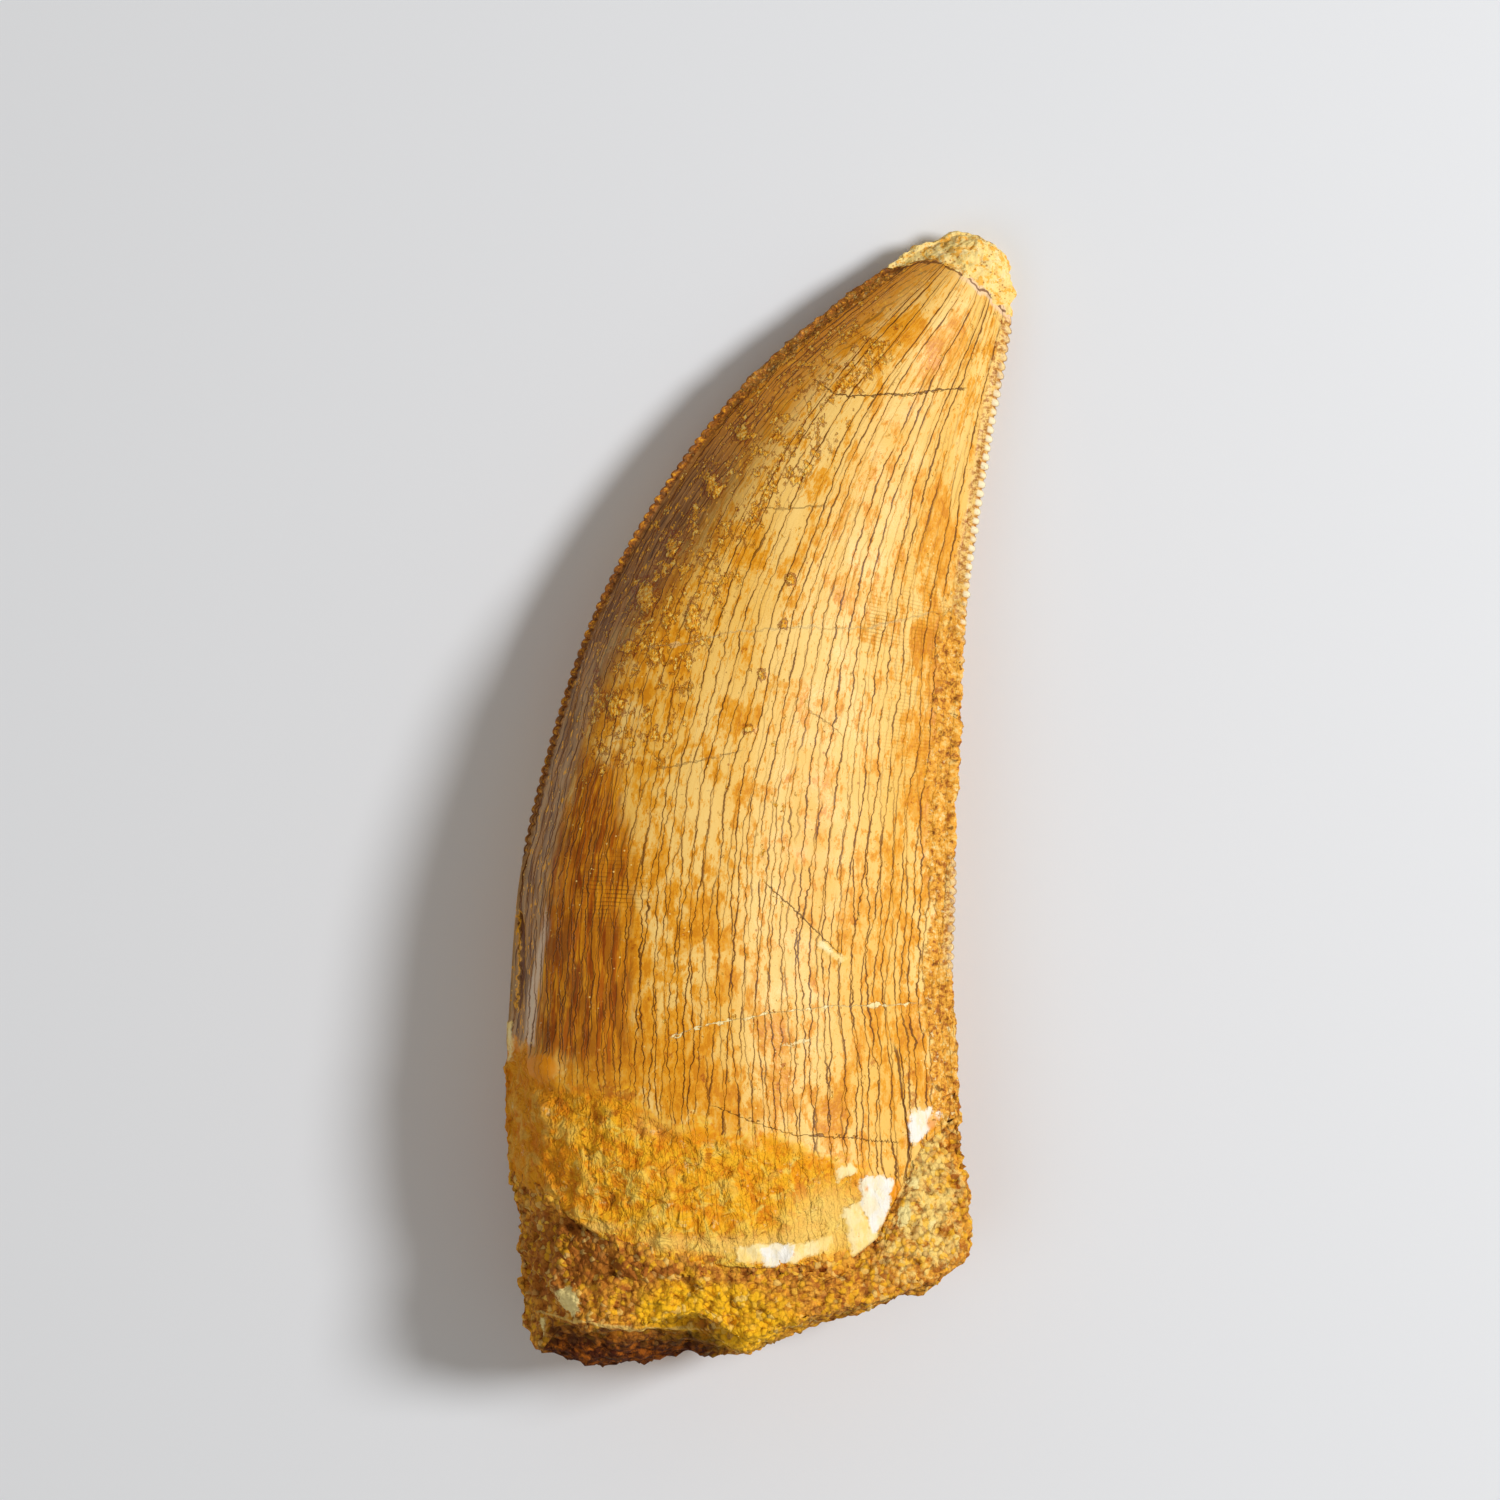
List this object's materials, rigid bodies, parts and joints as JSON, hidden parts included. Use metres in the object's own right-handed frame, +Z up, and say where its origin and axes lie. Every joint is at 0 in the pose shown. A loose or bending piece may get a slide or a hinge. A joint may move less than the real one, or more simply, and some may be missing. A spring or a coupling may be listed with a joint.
{
  "type": "fossil carcharodontosaurus tooth",
  "caption": "Curved fossil tooth of a large meat-eating dinosaur lying on its side, with serrated edges, sandstone on its broken base and a sandy crust on its tip.",
  "frame": {"origin": "centre of the bounding box, at the surface that the fossil lies on", "axes": "+Y from the broken base to the tip, +X to the distal edge with the fine serrations, +Z up out of the labial face"},
  "size_m": [0.0342, 0.0757, 0.0149],
  "materials": {
    "fossil_enamel": "satin",
    "sandstone": "matte"
  },
  "bodies": {
    "root": {"tooth": "fossil_enamel", "base_matrix": "sandstone", "tip_matrix": "sandstone"}
  },
  "joints": []
}
